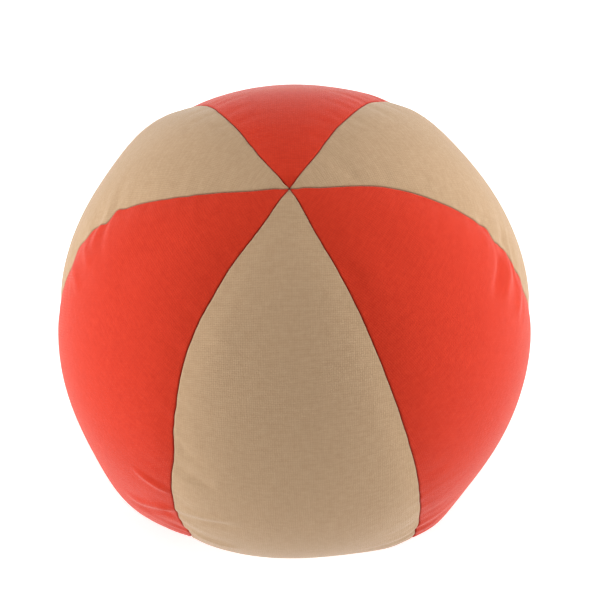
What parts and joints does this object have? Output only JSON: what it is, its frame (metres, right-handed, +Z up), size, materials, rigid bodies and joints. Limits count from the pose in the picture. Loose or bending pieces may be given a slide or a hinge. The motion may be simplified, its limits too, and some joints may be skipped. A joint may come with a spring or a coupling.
{
  "type": "juggling ball",
  "caption": "Soft sewn juggling ball: red and tan cotton gores meeting at two poles over a loose millet fill, resting on a slightly flattened patch.",
  "frame": {"origin": "centre of the patch that the ball rests on, on the axis through both poles", "axes": "+Z up through both poles, where all the gores meet; -Y faces the middle of the front tan gore; the round seam over both poles lies in the XZ plane"},
  "size_m": [0.068, 0.068, 0.0654],
  "materials": {
    "red_cotton": "matt plain-weave cotton with a fine fuzz, orange-red",
    "tan_cotton": "matt plain-weave cotton with a fine fuzz, beige tan",
    "tan_thread": "twisted cotton sewing thread, tan",
    "red_thread": "twisted cotton sewing thread, red",
    "millet": "small round dry seeds, straw yellow"
  },
  "bodies": {
    "root": {"front_tan_gore": "tan_cotton", "right_front_red_gore": "red_cotton", "right_back_tan_gore": "tan_cotton", "back_red_gore": "red_cotton", "left_back_tan_gore": "tan_cotton", "left_front_red_gore": "red_cotton", "front_right_needle_thread": "tan_thread", "front_right_bobbin_thread": "red_thread", "back_right_needle_thread": "tan_thread", "back_right_bobbin_thread": "red_thread", "back_left_needle_thread": "tan_thread", "back_left_bobbin_thread": "red_thread", "front_left_needle_thread": "tan_thread", "front_left_bobbin_thread": "red_thread", "round_seam_needle_thread": "tan_thread", "round_seam_bobbin_thread": "red_thread", "closing_thread": "tan_thread", "millet_fill": "millet"}
  },
  "joints": []
}
